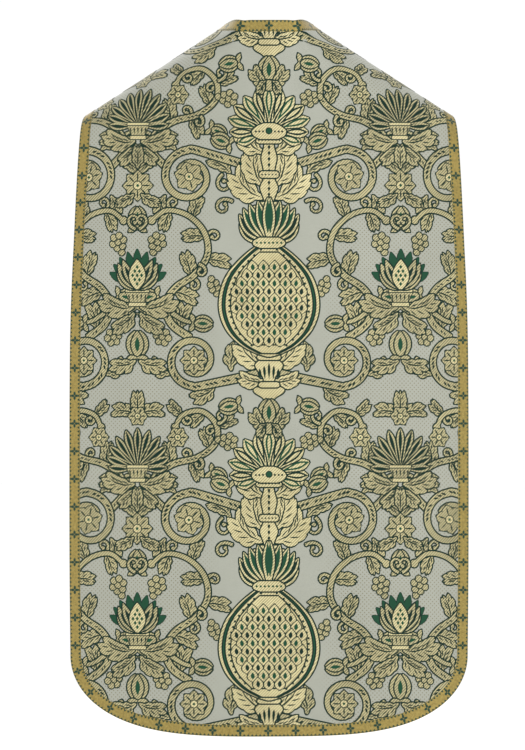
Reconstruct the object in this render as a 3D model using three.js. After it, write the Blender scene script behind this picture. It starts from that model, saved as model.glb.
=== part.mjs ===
// A roman (fiddleback) chasuble in its worn form, as it hangs from a wearer's shoulders.
// Millimetres, +Z up, the wearer faces -Y and +X is at the wearer's left.
// The origin is the middle of the neck opening, level with the foot of the neck trim.
import * as THREE from "three";

// Cloth and trim
const WALL = 2; // brocade, interlining and satin backing together
const GAP = 0.3; // between pieces at a seam, and under the trim
const TRIM_WIDTH = 18.5;
const TRIM_THICK = 1;

// Shoulders: the cloth arches over a ridge that falls outwards from the neck
const SHOULDER_FALL = Math.tan(THREE.MathUtils.degToRad(33));
const RIDGE_AT_ORIGIN = 90; // distance from the middle where the ridge is level with the origin
const ARCH_HEIGHT = 60; // ridge above the place where the arch begins
const ARCH_LENGTH = 182; // way over the arch, from back to front
const SHOULDER_DEPTH = 82; // from the ridge back to the arch's foot
const NAPE_LIFT = 50; // raises the arch at the nape, so that the cloth stands there
const NAPE_REACH = 54;
const NAPE_EDGE = 5; // power of the lift's fall beside the nape

// How far the hanging panels stand off the ridge
const BACK_SWELL = 36; // over the shoulder blades
const FRONT_SWELL = 30; // over the chest
const SWELL_DROP = 150;
const SIDE_CURL = 54; // the side edges turn in towards the wearer
const CURL_WIDTH = 320;
const HEM_SWAY = 6; // soft wave that grows towards the hem
const SWAY_LENGTH = 410;
const SWAY_SHIFT = 35;
const SWAY_DROP = 950;

// Outlines of the left half, as half width against height along the cloth
const BACK_SIDE = [
  { height: -1000, half: 318.5 },
  { height: -800, half: 320 },
  { height: -500, half: 319 },
  { height: -330, half: 313 },
  { height: -193, half: 306 },
  { height: -102, half: 296 },
  { height: -22, half: 274 },
];
const FRONT_SIDE = [
  { height: -950, half: 267 },
  { height: -820, half: 256 },
  { height: -640, half: 231 },
  { height: -470, half: 212 },
  { height: -350, half: 210 },
  { height: -260, half: 223 },
];
const BACK_HEM_DROP = 128; // rounded hem below the straight side
const FRONT_HEM_DROP = 110;
const HEM_ROUND = 3.4; // power of the hem's rounded outline
const CORNER_TURN = THREE.MathUtils.degToRad(42); // where side ends and hem begins

// Neck opening
const NECK_LEVEL = 18.6; // top edge at the nape
const NAPE_CORNERS = [0, 15, 30, 45, 60]; // half widths along that level edge
const NECK_AT_RIDGE = 70;
const NECK_PAST_RIDGE = { half: 69, way: 150 };
const NECK_AT_SEAM = 62;
const FRONT_NECK = [
  { height: -152, half: 0 },
  { height: -142, half: 30 },
  { height: -112, half: 51 },
  { height: -80, half: 60 },
];

// Shoulder seam, on the front, past the foot of the arch
const SEAM_WAY = ARCH_LENGTH + 25;
const SIDE_AT_SEAM = 250;
const SEAM_REACH = 40; // over this way the inside of the trim turns to meet the seam

// Fineness of the facets
const COLUMNS = 12; // from side to middle
const BACK_ROWS = { body: 18, shoulder: 20 };
const FRONT_ROWS = { body: 14, shoulder: 9 };
const SHOULDER_ROWS_START = 12; // below the arch's foot, at the side
const CHEST_HEIGHT = -360; // where the front's shoulder rows start, at the side
const DENSE = 400; // steps along a side before its rows are chosen
const CROWDING = { rows: 1.35, columns: 1.2 }; // smaller facets towards the hem's round corner
const STEP = 0.05; // for slopes

const point = (x, h) => new THREE.Vector2(x, h);
const archTurn = Math.PI / ARCH_LENGTH;

function ridgeHeight(x) {
  const lift = NAPE_LIFT * Math.exp(-((Math.abs(x) / NAPE_REACH) ** NAPE_EDGE));
  return (RIDGE_AT_ORIGIN - Math.abs(x)) * SHOULDER_FALL + lift;
}

const archFoot = (x) => ridgeHeight(x) - ARCH_HEIGHT;

// Distance of a hanging panel from the ridge's plane, at a drop below the arch's foot
function standOff(x, drop, swell) {
  const curl = SIDE_CURL * (Math.abs(x) / CURL_WIDTH) ** 3;
  const phase = (2 * Math.PI * (x + SWAY_SHIFT)) / SWAY_LENGTH;
  const sway = HEM_SWAY * (drop / SWAY_DROP) ** 2 * Math.sin(phase);
  return SHOULDER_DEPTH - curl + swell * (1 - Math.exp(-((drop / SWELL_DROP) ** 2))) + sway;
}

// The outer face of the cloth. h is the height on the back, and goes on growing over the arch
// and down the front, so one pair of numbers (x, h) names each place from back hem to front hem.
function cloth(x, h) {
  const way = h - archFoot(x);
  if (way < 0) {
    return new THREE.Vector3(x, standOff(x, -way, BACK_SWELL), h);
  }
  if (way < ARCH_LENGTH) {
    const turn = way * archTurn;
    const z = archFoot(x) + ARCH_HEIGHT * Math.sin(turn);
    return new THREE.Vector3(x, standOff(x, 0, 0) * Math.cos(turn), z);
  }
  const drop = way - ARCH_LENGTH;
  return new THREE.Vector3(x, -standOff(x, drop, FRONT_SWELL), archFoot(x) - drop);
}

// The same pair for a place on the front, given by its height
const onFront = (x, z) => point(x, 2 * archFoot(x) + ARCH_LENGTH - z);
const onSeam = (x, past) => point(x, archFoot(x) + SEAM_WAY + past);

function slopes(x, h) {
  const across = cloth(x + STEP, h).sub(cloth(x - STEP, h)).divideScalar(2 * STEP);
  const along = cloth(x, h + STEP).sub(cloth(x, h - STEP)).divideScalar(2 * STEP);
  return { across, along, normal: new THREE.Vector3().crossVectors(along, across).normalize() };
}

// Moves a place by a distance on the cloth, square to run, the way that the outline goes there.
// side is +1 or -1, the side of the outline on which the cloth lies.
function inset(place, run, side, distance) {
  const pieces = 4;
  const here = place.clone();
  for (let k = 0; k < pieces; k += 1) {
    const { across, along, normal } = slopes(here.x, here.y);
    const inward = new THREE.Vector3().crossVectors(normal, run).normalize().multiplyScalar(side);
    const [a, b, c] = [across.dot(across), across.dot(along), along.dot(along)];
    const [p, q] = [across.dot(inward), along.dot(inward)];
    const scale = distance / pieces / (a * c - b * b);
    here.add(point((c * p - b * q) * scale, (a * q - b * p) * scale));
  }
  return here;
}

const insetPath = (path, side, distance) =>
  path.map((place, k) => {
    const before = path[Math.max(k - 1, 0)];
    const after = path[Math.min(k + 1, path.length - 1)];
    const run = cloth(after.x, after.y).sub(cloth(before.x, before.y));
    const atMiddle = Math.abs(place.x) < STEP;
    return inset(place, atMiddle ? new THREE.Vector3(Math.sign(run.x), 0, 0) : run, side, distance);
  });

// Places at even steps along a smooth curve, or crowded towards its start
function spaced(places, count, crowding = 1) {
  const curve = new THREE.SplineCurve(places);
  return Array.from({ length: count + 1 }, (_, k) => curve.getPointAt((k / count) ** crowding));
}

// The rounded hem: a quarter of a superellipse, from the side (turn 0) to the middle (a right angle)
function hemPlaces({ half, height }, drop, fromTurn, toTurn, count) {
  return Array.from({ length: count + 1 }, (_, k) => {
    const turn = fromTurn + ((toTurn - fromTurn) * k) / count;
    return point(half * Math.cos(turn) ** (2 / HEM_ROUND), height - drop * Math.sin(turn));
  });
}

// The panel's corner, from where the hem ends up to the straight side, and its hem to the middle
const cornerPlaces = (start, drop) => hemPlaces(start, drop, CORNER_TURN, 0, 4).slice(0, -1);
const middleHem = (start, drop) => hemPlaces(start, drop, CORNER_TURN, Math.PI / 2, 60);

// Points of a grid between four sides, which meet at their ends
function filledGrid({ left, right, bottom, top }) {
  const [rows, columns] = [left.length - 1, bottom.length - 1];
  const mix = (a, b, t) => a.clone().lerp(b, t);
  return left.map((_, j) =>
    bottom.map((__, i) => {
      const [u, v] = [i / columns, j / rows];
      const corners = mix(mix(bottom[0], bottom[columns], u), mix(top[0], top[columns], u), v);
      return mix(left[j], right[j], u).add(mix(bottom[i], top[i], v)).sub(corners);
    }),
  );
}

// Shifts the end of a path to a place on the seam, and the places before it by less and less
function meetSeam(path, place) {
  const end = path.at(-1).clone();
  const shift = place.clone().sub(end);
  path.forEach((here) => here.addScaledVector(shift, Math.exp(-here.distanceTo(end) / SEAM_REACH)));
}

// Half of a panel: the grid inside the trim, then a band of the trim's width along the side and
// hem, and one along the neck. Each band is a list of quads, of which the trim is made as well.
// level turns a place into one whose second number is its height, and back.
function halfPanel({ side, hem, neck, seam, bodyRows, turn, level }) {
  const sideIn = insetPath(side, turn, TRIM_WIDTH);
  const hemIn = insetPath(hem, -turn, TRIM_WIDTH);
  const neckIn = insetPath(neck, -turn, TRIM_WIDTH);
  hemIn[0] = sideIn[0];
  meetSeam(sideIn, seam(side.at(-1).x - TRIM_WIDTH));
  meetSeam(neckIn, seam(neck.at(-1).x + TRIM_WIDTH));
  hemIn[COLUMNS].x = 0;
  neckIn[0].x = 0;
  const middle = Array.from({ length: bodyRows }, (_, k) =>
    hemIn[COLUMNS].clone().lerp(neckIn[0], (k / bodyRows) ** CROWDING.rows),
  );
  const right = [...middle, ...neckIn];
  const [outer, inner] = [sideIn.at(-1).x, neckIn.at(-1).x];
  const top = Array.from({ length: COLUMNS + 1 }, (_, k) => seam(outer + ((inner - outer) * k) / COLUMNS));
  const [left, bottom] = [sideIn, hemIn];
  const sides = Object.entries({ left, right, bottom, top }).map(([name, path]) => [name, path.map(level)]);
  const grid = filledGrid(Object.fromEntries(sides)).map((row) => row.map(level));
  const body = [];
  for (let j = 0; j + 1 < grid.length; j += 1) {
    for (let i = 0; i < COLUMNS; i += 1) {
      body.push([grid[j][i], grid[j][i + 1], grid[j + 1][i + 1], grid[j + 1][i]]);
    }
  }
  return {
    body: facingOut(body),
    edge: [...strip(side, sideIn), ...strip(hem, hemIn)],
    neck: strip(neck, neckIn),
    neckEnd: { edge: neck.at(-1), inside: neckIn.at(-1) },
  };
}

const strip = (outside, inside) =>
  facingOut(outside.slice(1).map((place, k) => [outside[k], place, inside[k + 1], inside[k]]));

const area = ([a, b, c, d]) => (c.clone().sub(a).cross(d.clone().sub(b)));

// Quads run clockwise in (x, h), which on the cloth faces outwards
function facingOut(quads) {
  const whole = quads.reduce((sum, quad) => sum + area(quad), 0);
  return whole > 0 ? quads.map((quad) => quad.toReversed()) : quads;
}

const mirrored = (quads) => quads.map((quad) => quad.map(({ x, y }) => point(-x, y)).reverse());
const bothSides = (quads) => [...quads, ...mirrored(quads)];

// A closed shell over quads of places on the cloth, between two distances from its outer face.
function shell(quads, low, high) {
  const ids = new Map();
  const places = [];
  const idOf = ({ x, y }) => {
    const key = `${Math.round(x * 100)} ${Math.round(y * 100)}`;
    if (!ids.has(key)) {
      ids.set(key, places.length);
      places.push({ at: cloth(x, y), normal: slopes(x, y).normal });
    }
    return ids.get(key);
  };
  const faces = [];
  for (const quad of quads) {
    const [a, b, c, d] = quad.map(idOf);
    const [ac, bd] = [places[a].at.distanceTo(places[c].at), places[b].at.distanceTo(places[d].at)];
    faces.push(...(ac < bd ? [[a, b, c], [a, c, d]] : [[a, b, d], [b, c, d]]));
  }
  const edges = new Map();
  for (const face of faces) {
    face.forEach((a, k) => edges.set(`${a} ${face[(k + 1) % 3]}`, [a, face[(k + 1) % 3]]));
  }
  const count = places.length;
  const indices = faces.flatMap(([a, b, c]) => [a + count, b + count, c + count, a, c, b]);
  for (const [a, b] of edges.values()) {
    if (!edges.has(`${b} ${a}`)) {
      indices.push(a, b, b + count, a, b + count, a + count);
    }
  }
  const raised = (distance) =>
    places.flatMap(({ at, normal }) => at.clone().addScaledVector(normal, distance).toArray());
  const geometry = new THREE.BufferGeometry();
  geometry.setAttribute("position", new THREE.Float32BufferAttribute([...raised(low), ...raised(high)], 3));
  geometry.setIndex(indices);
  geometry.computeVertexNormals();
  return geometry;
}

const tablePlaces = (table) => table.map(({ height, half }) => point(half, height));

function backHalf() {
  const corner = cornerPlaces(BACK_SIDE[0], BACK_HEM_DROP);
  const side = spaced([...corner, ...tablePlaces(BACK_SIDE), onSeam(SIDE_AT_SEAM, 0)], DENSE);
  const foot = side.findIndex(({ x, y }) => y > archFoot(x) - SHOULDER_ROWS_START);
  const [low, high] = [side.slice(0, foot + 1), side.slice(foot)];
  const lower = spaced(low, BACK_ROWS.body, CROWDING.rows);
  const hem = middleHem(BACK_SIDE[0], BACK_HEM_DROP);
  const onArch = (x, way) => point(x, archFoot(x) + way);
  const backLevel = (x) => {
    const rise = NECK_LEVEL - archFoot(x);
    return point(x, rise < 0 ? NECK_LEVEL : archFoot(x) + Math.asin(rise / ARCH_HEIGHT) / archTurn);
  };
  const neck = spaced(
    [
      ...NAPE_CORNERS.map(backLevel),
      onArch(NECK_AT_RIDGE, ARCH_LENGTH / 2),
      onArch(NECK_PAST_RIDGE.half, NECK_PAST_RIDGE.way),
      onSeam(NECK_AT_SEAM, 0),
    ],
    BACK_ROWS.shoulder,
  );
  return halfPanel({
    side: [...lower.slice(0, -1), ...spaced(high, BACK_ROWS.shoulder)],
    hem: spaced(hem, COLUMNS, CROWDING.columns),
    neck,
    seam: (x) => onSeam(x, 0),
    bodyRows: BACK_ROWS.body,
    turn: -1,
    level: (place) => place.clone(),
  });
}

function frontHalf() {
  const past = GAP / Math.cos(Math.atan(SHOULDER_FALL));
  const seamPlace = (x) => point(x, archFoot(x) - (SEAM_WAY - ARCH_LENGTH) - past);
  const corner = cornerPlaces(FRONT_SIDE[0], FRONT_HEM_DROP);
  const side = spaced([...corner, ...tablePlaces(FRONT_SIDE), seamPlace(SIDE_AT_SEAM)], DENSE);
  const foot = side.findIndex(({ y }) => y > CHEST_HEIGHT);
  const lower = spaced(side.slice(0, foot + 1), FRONT_ROWS.body, CROWDING.rows);
  const upper = spaced(side.slice(foot), FRONT_ROWS.shoulder);
  const hem = middleHem(FRONT_SIDE[0], FRONT_HEM_DROP);
  const neck = [...tablePlaces(FRONT_NECK), seamPlace(NECK_AT_SEAM)];
  const toFront = ({ x, y }) => onFront(x, y);
  return halfPanel({
    side: [...lower.slice(0, -1), ...upper].map(toFront),
    hem: spaced(hem, COLUMNS, CROWDING.columns).map(toFront),
    neck: spaced(neck, FRONT_ROWS.shoulder).map(toFront),
    seam: (x) => onSeam(x, past),
    bodyRows: FRONT_ROWS.body,
    turn: 1,
    level: toFront,
  });
}

const brocade = new THREE.MeshStandardMaterial({ color: "#b8b6a0", roughness: 0.6, metalness: 0 });
const galloon = new THREE.MeshStandardMaterial({ color: "#a8965e", roughness: 0.5, metalness: 0.2 });

const chasuble = new THREE.Group();

function addPiece(name, quads, low, high, material) {
  const mesh = new THREE.Mesh(shell(quads, low, high), material);
  mesh.name = name;
  chasuble.add(mesh);
}

const back = backHalf();
const front = frontHalf();
const trimTop = GAP + TRIM_THICK;

addPiece("back_panel", bothSides([...back.body, ...back.edge, ...back.neck]), -WALL, 0, brocade);
addPiece("front_panel", bothSides([...front.body, ...front.edge, ...front.neck]), -WALL, 0, brocade);
addPiece("back_edge_galloon", bothSides(back.edge), GAP, trimTop, galloon);
addPiece("front_edge_galloon", bothSides(front.edge), GAP, trimTop, galloon);

// The neck trim runs on over both shoulder seams, so its two parts are joined there.
const bridge = strip([back.neckEnd.edge, front.neckEnd.edge], [back.neckEnd.inside, front.neckEnd.inside]);
addPiece(
  "neck_galloon",
  bothSides([...back.neck, ...front.neck, ...bridge]),
  GAP,
  trimTop,
  galloon,
);

export default chasuble;
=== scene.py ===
import bpy
import numpy as np
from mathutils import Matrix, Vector
from mathutils.geometry import delaunay_2d_cdt


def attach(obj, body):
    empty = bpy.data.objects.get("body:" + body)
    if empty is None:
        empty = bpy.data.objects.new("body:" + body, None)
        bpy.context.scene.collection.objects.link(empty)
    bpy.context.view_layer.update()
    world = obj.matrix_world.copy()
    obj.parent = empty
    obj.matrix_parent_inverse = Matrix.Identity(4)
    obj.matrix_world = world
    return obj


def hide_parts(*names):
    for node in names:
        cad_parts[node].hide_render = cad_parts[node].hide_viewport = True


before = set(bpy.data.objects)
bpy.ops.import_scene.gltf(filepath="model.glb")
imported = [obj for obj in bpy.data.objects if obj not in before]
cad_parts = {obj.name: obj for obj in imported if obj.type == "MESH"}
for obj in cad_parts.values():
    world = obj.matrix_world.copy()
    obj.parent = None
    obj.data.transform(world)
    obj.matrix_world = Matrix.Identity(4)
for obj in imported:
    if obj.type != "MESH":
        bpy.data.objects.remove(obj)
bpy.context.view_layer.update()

METRE = 0.001  # a millimetre, in Blender's metres

# Cloth and trim
WALL = 2.0
GAP = 0.3
TRIM_WIDTH = 18.5
TRIM_THICK = 1.0
SLOPE_STEP = 0.4  # half the way over which the cloth's slope is taken

# Shoulders
SHOULDER_ANGLE = np.radians(33)
SHOULDER_FALL = np.tan(SHOULDER_ANGLE)
RIDGE_AT_ORIGIN = 90
ARCH_HEIGHT = 60
ARCH_LENGTH = 182
SHOULDER_DEPTH = 82
NAPE_LIFT = 50
NAPE_REACH = 54
NAPE_EDGE = 5
SEAM_GAP = GAP / np.cos(SHOULDER_ANGLE)

# Hanging panels
BACK_SWELL = 36
FRONT_SWELL = 30
SWELL_DROP = 150
SIDE_CURL = 54
CURL_WIDTH = 320
HEM_SWAY = 6
SWAY_LENGTH = 410
SWAY_SHIFT = 35
SWAY_DROP = 950

# Outlines of the left half: (half width, height)
BACK_SIDE = [(318.5, -1000), (320, -800), (319, -500), (313, -330), (306, -193), (296, -102), (274, -22)]
FRONT_SIDE = [(267, -950), (256, -820), (231, -640), (212, -470), (210, -350), (223, -260)]
BACK_HEM_DROP = 128
FRONT_HEM_DROP = 110
HEM_ROUND = 3.4
NECK_LEVEL = 18.6
NAPE_CORNERS = [0, 15, 30, 45, 60]
NECK_AT_RIDGE = 70
NECK_PAST_RIDGE = (69, 150)
NECK_AT_SEAM = 62
FRONT_NECK = [(0, -152), (30, -142), (51, -112), (60, -80)]
SEAM_WAY = ARCH_LENGTH + 25
SIDE_AT_SEAM = 250
SEAM_REACH = 40
HEM_POINTS = 120
SIDE_POINTS = 400
SEAM_POINTS = 40
BACK_NECK_POINTS = 200
FRONT_NECK_POINTS = 120
NECK_RING_POINTS = 400
OUTLINE_FINENESS = 16

# The galloon's section and its woven pattern
BAND_STEP = 2.5
BAND_COLUMNS = 13
BAND_SEAT = 0.05
BAND_RISE = 0.72
CROWN_RISE = 0.12
EDGE_RISE = 0.45
CORD_RISE = 0.3
CORD_PLACE = 0.44
CORD_SPREAD = 0.045
CROSS_SPACING = 44.5
PETAL_PLACE = 3.6
PETAL_HALF = 2.9
PETAL_WIDTH = 2.0
POINT_SPACING = CROSS_SPACING / 7
POINT_SLOPE = 0.75
POINT_MARGIN = 0.7
HERRINGBONE = 3.0
GALLOON_RELIEF = 0.25
INSET_STEPS = 4

# The figured weave
REPEAT_WIDTH = 422.0
REPEAT_HEIGHT = 549.0
LINE_WIDTH = 2.35
CURL_STROKE = 4.6
# LIGHT is the lighter gilt twill: an accent colour in the motifs, and over the main axis's motifs a painted
# sheen that makes the middle column lighter.
GROUND, LINE, GOLD, GREEN, LIGHT = range(5)
STRAIGHT = 0.12
STRAIGHTENING_ROUNDS = 3
DRAWN_TO = 1024  # steps to a mm
NET_SPACING = 10.0
BANDS = 8
CLOTH_LOW = np.array([-428.0, -1150.0])
CLOTH_HIGH = np.array([428.0, 320.0])
LAYING_STEPS = 8
GROUND_SPACING = 6.0
FIGURE_RISE = 0.35
FIGURE_EDGE = 0.12
MOST_BRIDGING = 0.9
BACK_RISE = -1128.0
FRONT_RISE = -1010.0
DOT_SPACING = 4.8
DOT_SHARE = 0.9
REPEAT_STEPS = 200  # steps to a mm within which points are one
CUT_STEPS = 500
KEY_ROW = 10_000_019  # far more than the steps in any height on the cloth
BACKING_SPACING = (11, 8)
RIM_MARGIN = 4

# Each panel's cut before it is hung: width and length in m, and area in square metres
BACK_CUT = (0.754, 1.27)
BACK_CUT_AREA = 0.778
FRONT_CUT = (0.54, 1.0)
FRONT_CUT_AREA = 0.439

# Soft creases: panel, start (x, z), end (x, z), how far out (troughs are negative), half width, bow
CREASES = [
    ("back", (118, -446), (-96, -566), -3.6, 14, 9),
    ("back", (92, -520), (-40, -596), 2.8, 13, -6),
    ("back", (70, -400), (-120, -478), 2.6, 20, 12),
    ("back", (-210, -150), (-262, -560), 4.2, 27, 14),
    ("back", (205, -170), (248, -700), 3.9, 31, -12),
    ("back", (-128, -560), (-176, -1080), 4.6, 42, 16),
    ("back", (36, -640), (20, -1110), -4.0, 50, -14),
    ("back", (172, -600), (214, -1060), 3.4, 36, 10),
    ("back", (-64, -36), (-216, -210), -3.0, 20, -9),
    ("back", (72, -44), (190, -236), -2.6, 22, 10),
    ("front", (-60, -190), (-172, -330), -2.4, 18, 8),
    ("front", (66, -196), (158, -352), -2.0, 21, -7),
    ("front", (0, -240), (-34, -640), 2.6, 34, 12),
    ("front", (104, -420), (150, -1000), 3.0, 40, -13),
    ("front", (-112, -470), (-160, -980), 3.3, 36, 15),
    ("front", (20, -660), (52, -1040), -2.4, 46, -9),
    ("front", (-92, -404), (70, -470), -1.6, 16, 7),
]


def ridge_height(x):
    """Height of the shoulders' ridge: a straight fall to both sides, and a lift at the nape."""
    lift = NAPE_LIFT * np.exp(-((np.abs(x) / NAPE_REACH) ** NAPE_EDGE))
    return (RIDGE_AT_ORIGIN - np.abs(x)) * SHOULDER_FALL + lift


def arch_foot(x):
    """Height where the cloth starts to arch over the shoulder."""
    return ridge_height(x) - ARCH_HEIGHT


def stand_off(x, drop, swell):
    """Distance from the ridge's plane: the sides curl in as a cubic, the swell grows with the
    drop as a bell does, and a sine wave grows towards the hem."""
    curl = SIDE_CURL * (np.abs(x) / CURL_WIDTH) ** 3
    sway = HEM_SWAY * (drop / SWAY_DROP) ** 2 * np.sin(2 * np.pi * (x + SWAY_SHIFT) / SWAY_LENGTH)
    return SHOULDER_DEPTH - curl + swell * (1 - np.exp(-((drop / SWELL_DROP) ** 2))) + sway


def smooth_cloth(x, h):
    """The outer face without creases. h is the height on the back, and it goes on growing over the
    arch, a half ellipse, and down the front, so (x, h) names every place on the cloth."""
    way = h - arch_foot(x)
    turn = np.clip(way, 0, ARCH_LENGTH) * np.pi / ARCH_LENGTH
    on_back = way < 0
    past = way > ARCH_LENGTH
    drop = np.where(on_back, -way, np.where(past, way - ARCH_LENGTH, 0))
    swell = np.where(on_back, BACK_SWELL, FRONT_SWELL)
    y = stand_off(x, drop, swell) * np.cos(turn)
    z = arch_foot(x) - drop + ARCH_HEIGHT * np.sin(turn)
    return np.stack([x, y, z], axis=-1)


def slopes_of(face, x, h):
    """How far a face runs over twice the slope step, along x and along h."""
    across = face(x + SLOPE_STEP, h) - face(x - SLOPE_STEP, h)
    return across, face(x, h + SLOPE_STEP) - face(x, h - SLOPE_STEP)


def normals_of(face, x, h):
    """Outward normal of a face: its slope along h crossed with its slope along x."""
    across, along = slopes_of(face, x, h)
    normal = np.cross(along, across)
    return normal / np.linalg.norm(normal, axis=-1, keepdims=True)


def creases(points):
    """How far the creases raise each place: a bell across each bowed line, fading at both ends."""
    x, y, z = np.moveaxis(points, -1, 0)
    raised = np.zeros_like(x)
    for panel, start, end, out, half_width, bow in CREASES:
        side = 1 if panel == "back" else -1
        start, end = np.array(start, float), np.array(end, float)
        length = np.linalg.norm(end - start)
        along = (end - start) / length
        way = ((x - start[0]) * along[0] + (z - start[1]) * along[1]) / length
        fade = np.sin(np.pi * np.clip(way, 0, 1)) ** 1.5
        across = (z - start[1]) * along[0] - (x - start[0]) * along[1] - bow * np.sin(np.pi * way)
        raised += np.where(y * side > 0, out * fade * np.exp(-((across / half_width) ** 2)), 0)
    return raised


def creased_cloth(x, h):
    """The outer face: the smooth one, moved along its normal by the creases."""
    points = smooth_cloth(x, h)
    return points + normals_of(smooth_cloth, x, h) * creases(points)[..., None]


def on_cloth(places, out):
    """Points over places (x, h), out mm from the cloth's outer face, and the normals there."""
    x, h = places[..., 0], places[..., 1]
    normal = normals_of(creased_cloth, x, h)
    return creased_cloth(x, h) + normal * np.broadcast_to(out, x.shape)[..., None], normal


# Outlines of the panels, as places (x, h)


def ways_of(path):
    """Length of a polyline up to each of its points."""
    return np.concatenate([[0], np.cumsum(np.linalg.norm(np.diff(path, axis=0), axis=1))])


def length_of(path):
    """Length of a polyline."""
    return np.linalg.norm(np.diff(np.asarray(path, float), axis=0), axis=1).sum()


def even_steps(curve, count, measured=None):
    """count points along a polyline, at even steps of its length, or else of the length measured
    along another polyline that goes with it."""
    way = ways_of(curve if measured is None else measured)
    even = np.linspace(0, way[-1], count)
    return np.stack([np.interp(even, way, column) for column in curve.T], axis=1)


def smooth(points, count, fineness=12, runs_on=True):
    """A smooth curve through points, at even steps of its length. Between two points it is a cubic
    that runs at each as the line between its neighbours does. Beyond its ends it runs on straight,
    or else stops, and it is worked out at fineness places to a point."""
    p = np.asarray(points, float)
    first, last = (2 * p[0] - p[1], 2 * p[-1] - p[-2]) if runs_on else (p[0], p[-1])
    p = np.vstack([first, p, last])
    t = np.linspace(0, len(p) - 3 - 1e-9, fineness * len(p))
    k = t.astype(int)
    s = (t - k)[:, None]
    a, b, c, d = (p[k + i] for i in range(4))
    square, cube = (2 * a - 5 * b + 4 * c - d) * s**2, (3 * b - a - 3 * c + d) * s**3
    return even_steps(0.5 * (2 * b + (c - a) * s + square + cube), count)


def hem_curve(side_start, drop):
    """The rounded hem, a quarter of a superellipse from the middle out to the side."""
    half, height = side_start
    turn = np.linspace(np.pi / 2, 0, HEM_POINTS)
    return np.stack([half * np.cos(turn) ** (2 / HEM_ROUND), height - drop * np.sin(turn)], axis=1)


def seam_place(x, past=0.0):
    """A place on the shoulder seam, or past it."""
    return np.stack([x, arch_foot(x) + SEAM_WAY + past], axis=-1)


def on_front(points):
    """Places for points (x, z) of the front."""
    x, z = np.asarray(points, float).T
    return np.stack([x, 2 * arch_foot(x) + ARCH_LENGTH - z], axis=1)


def back_outline():
    """Side with hem, and neck, of the back's left half."""
    hem = hem_curve(BACK_SIDE[0], BACK_HEM_DROP)
    side = [*BACK_SIDE, seam_place(np.float64(SIDE_AT_SEAM))]
    side = smooth(side, SIDE_POINTS, OUTLINE_FINENESS, False)
    nape = np.array(NAPE_CORNERS, float)
    rise = NECK_LEVEL - arch_foot(nape)
    over = arch_foot(nape) + np.arcsin(np.clip(rise / ARCH_HEIGHT, 0, 1)) * ARCH_LENGTH / np.pi
    level = np.stack([nape, np.where(rise < 0, NECK_LEVEL, over)], axis=1)
    ridge = (NECK_AT_RIDGE, arch_foot(NECK_AT_RIDGE) + ARCH_LENGTH / 2)
    beyond = (NECK_PAST_RIDGE[0], arch_foot(NECK_PAST_RIDGE[0]) + NECK_PAST_RIDGE[1])
    neck = [*level, ridge, beyond, seam_place(np.float64(NECK_AT_SEAM))]
    return np.vstack([hem[:-1], side]), smooth(neck, BACK_NECK_POINTS, OUTLINE_FINENESS, False)


def front_outline():
    """Side with hem, and neck, of the front's left half."""
    hem = hem_curve(FRONT_SIDE[0], FRONT_HEM_DROP)
    ends = [(x, arch_foot(x) - (SEAM_WAY - ARCH_LENGTH) - SEAM_GAP) for x in (SIDE_AT_SEAM, NECK_AT_SEAM)]
    side = smooth([*FRONT_SIDE, ends[0]], SIDE_POINTS, OUTLINE_FINENESS, False)
    neck = smooth([*FRONT_NECK, ends[1]], FRONT_NECK_POINTS, OUTLINE_FINENESS, False)
    return on_front(np.vstack([hem[:-1], side])), on_front(neck)


def both_halves(half):
    """A path that starts on the middle line, with its mirror image before it."""
    return np.vstack([(half * (-1, 1))[::-1], half[1:]])


def panel_outline(edge, neck):
    """Closed outline of a whole panel: round the hem and up the side, along the seam, the neck."""
    seam = np.linspace(edge[-1], neck[-1], SEAM_POINTS)[1:-1]
    past = edge[-1][1] - seam_place(edge[-1][0])[1]
    seam = seam_place(seam[:, 0], past)
    half = np.vstack([edge, seam, neck[::-1]])
    return np.vstack([half, (half[1:-1] * (-1, 1))[::-1]])


def inside_of(outline, places):
    """Which places lie inside a closed outline, by counting the sides that a ray crosses."""
    x, y = places.T
    after = np.roll(outline, -1, axis=0)
    found = np.zeros(len(places), bool)
    for (ax, ay), (bx, by) in zip(outline, after):
        if ay != by:
            spans = (ay > y) != (by > y)
            found ^= spans & (x < (bx - ax) * (y - ay) / (by - ay) + ax)
    return found


def depth_inside(outline, places):
    """Distance to the nearest side of a closed outline, below nought outside it."""
    nearest = np.full(len(places), 1e9)
    for a, b in zip(outline, np.roll(outline, -1, axis=0)):
        side = b - a
        t = np.clip(((places - a) @ side) / (side @ side + 1e-12), 0, 1)
        nearest = np.minimum(nearest, ((places - a - t[:, None] * side) ** 2).sum(axis=1))
    return np.sqrt(nearest) * np.where(inside_of(outline, places), 1, -1)


def triangles_of(points, edges):
    """Triangles of a flat net that keeps the edges, and its points."""
    made = delaunay_2d_cdt([Vector(p) for p in points.tolist()], edges.tolist(), [], 0, 1e-4, False)
    return np.array([tuple(v) for v in made[0]]), np.array([face for face in made[2] if len(face) == 3])


def loop_edges(count, start):
    """Edges of a closed loop of points, numbered from start."""
    return np.stack([np.arange(count), (np.arange(count) + 1) % count], axis=1) + start


def sides_of(faces):
    """The three sides of each triangle, as pairs of numbers: all the first sides, then the others."""
    return np.concatenate([faces[:, [0, 1]], faces[:, [1, 2]], faces[:, [2, 0]]])


# Meshes


def linear(code):
    """An sRGB hex colour as a linear one."""
    srgb = np.array([int(code[k : k + 2], 16) for k in (1, 3, 5)]) / 255
    low = srgb / 12.92
    high = ((srgb + 0.055) / 1.055) ** 2.4
    return (*np.where(srgb <= 0.04045, low, high), 1.0)


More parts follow.
